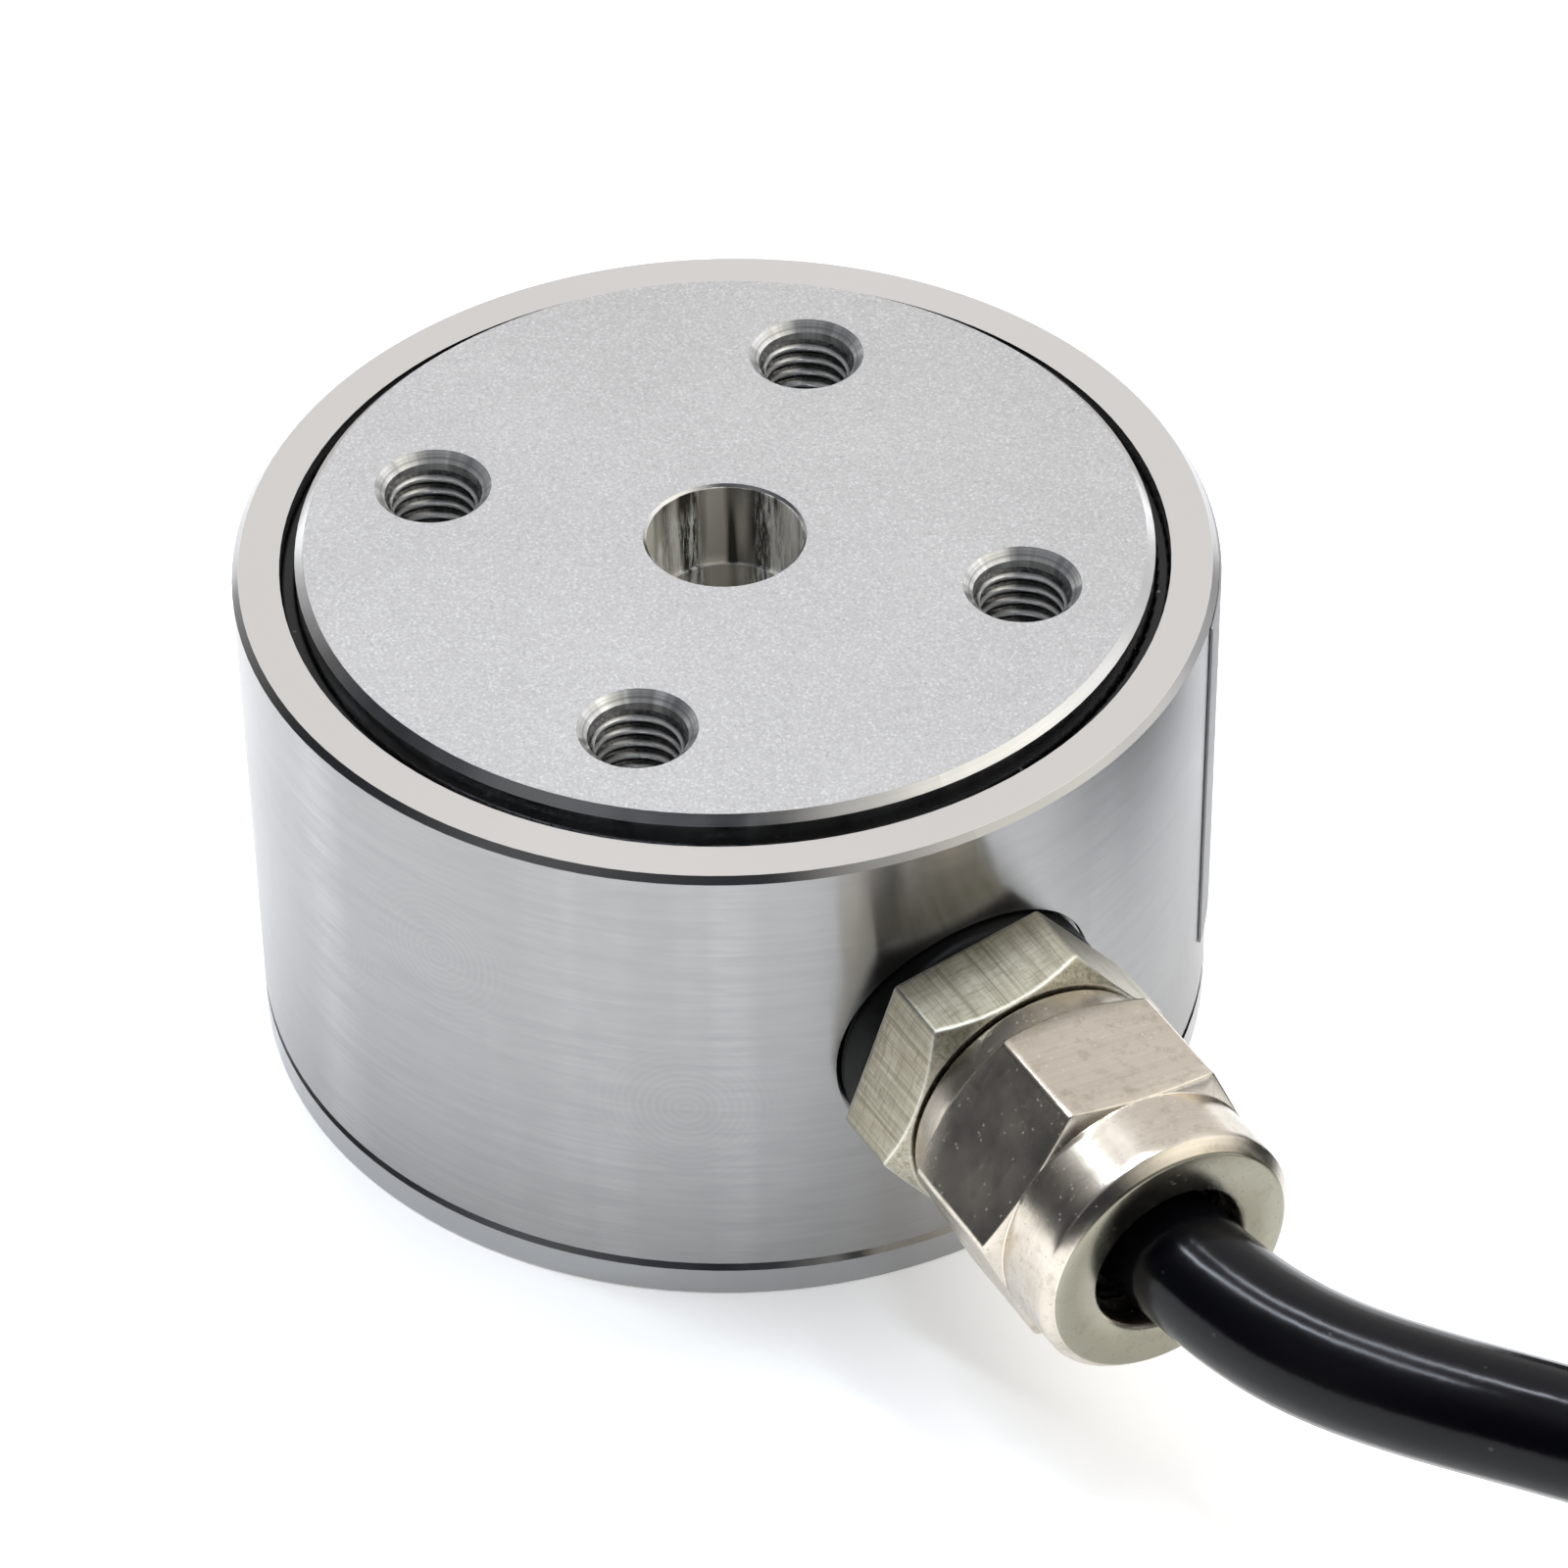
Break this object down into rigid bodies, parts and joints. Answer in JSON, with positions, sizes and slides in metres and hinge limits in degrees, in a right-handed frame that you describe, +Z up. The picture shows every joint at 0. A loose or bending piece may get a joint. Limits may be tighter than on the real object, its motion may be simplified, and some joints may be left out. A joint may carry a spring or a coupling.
{
  "type": "button load cell",
  "caption": "Short round load cell with tapped holes in its loading disc and base, a sealed steel sleeve and a coiled side cable.",
  "frame": {"origin": "centre of the base face, where the base rests and bolts on", "axes": "+Z up along the load, out of the loading disc; +X out along the cable gland"},
  "size_m": [0.1118, 0.1533, 0.0292],
  "materials": {
    "element_steel": "bead blasted top, turned base, polished edges",
    "sleeve_steel": "polished stainless, fine lathe lines",
    "seal_rubber": "glossy black",
    "gland_nickel": "bright nickel plate on brass",
    "gland_rubber": "matt black",
    "claw_nylon": "moulded, black",
    "jacket": "smooth glossy black jacket",
    "tie_nylon": "natural nylon",
    "shrink_sleeve": "satin black heat shrink",
    "insulation_red": "smooth",
    "insulation_black": "smooth",
    "insulation_green": "smooth",
    "insulation_white": "smooth",
    "tinned_copper": "stranded, tinned",
    "gauge_foil": "amber carrier film",
    "terminal_pad": "glass fibre pad with solder",
    "wire_enamel": "enamelled copper",
    "board_laminate": "green solder mask",
    "pad_foam": "closed cell foam",
    "resistor_body": "moulded, tinned ends",
    "label_foil": "bare dark grey foil, matt"
  },
  "bodies": {
    "root": {"spring_element": "element_steel", "housing_sleeve": "sleeve_steel", "gland_boss": "sleeve_steel", "top_seal_ring": "seal_rubber", "base_seal_ring": "seal_rubber", "gland_gasket": "gland_rubber", "gland_body": "gland_nickel", "dome_nut": "gland_nickel", "clamping_claw": "claw_nylon", "sealing_bush": "gland_rubber", "cable_entry": "jacket", "signal_cable": "jacket", "cable_coil": "jacket", "coil_tie_1": "tie_nylon", "coil_tie_2": "tie_nylon", "end_sleeve": "shrink_sleeve", "lead_red": "insulation_red", "lead_black": "insulation_black", "lead_green": "insulation_green", "lead_white": "insulation_white", "lead_shield": "tinned_copper", "core_red": "insulation_red", "core_black": "insulation_black", "core_green": "insulation_green", "core_white": "insulation_white", "bridge_wires": "wire_enamel", "compensation_board": "board_laminate", "board_pad": "pad_foam", "zero_resistor": "resistor_body", "span_resistor_1": "resistor_body", "span_resistor_2": "resistor_body", "blank_label": "label_foil", "strain_gauge_1": "gauge_foil", "solder_terminal_1": "terminal_pad", "strain_gauge_2": "gauge_foil", "solder_terminal_2": "terminal_pad", "strain_gauge_3": "gauge_foil", "solder_terminal_3": "terminal_pad", "strain_gauge_4": "gauge_foil", "solder_terminal_4": "terminal_pad"}
  },
  "joints": []
}
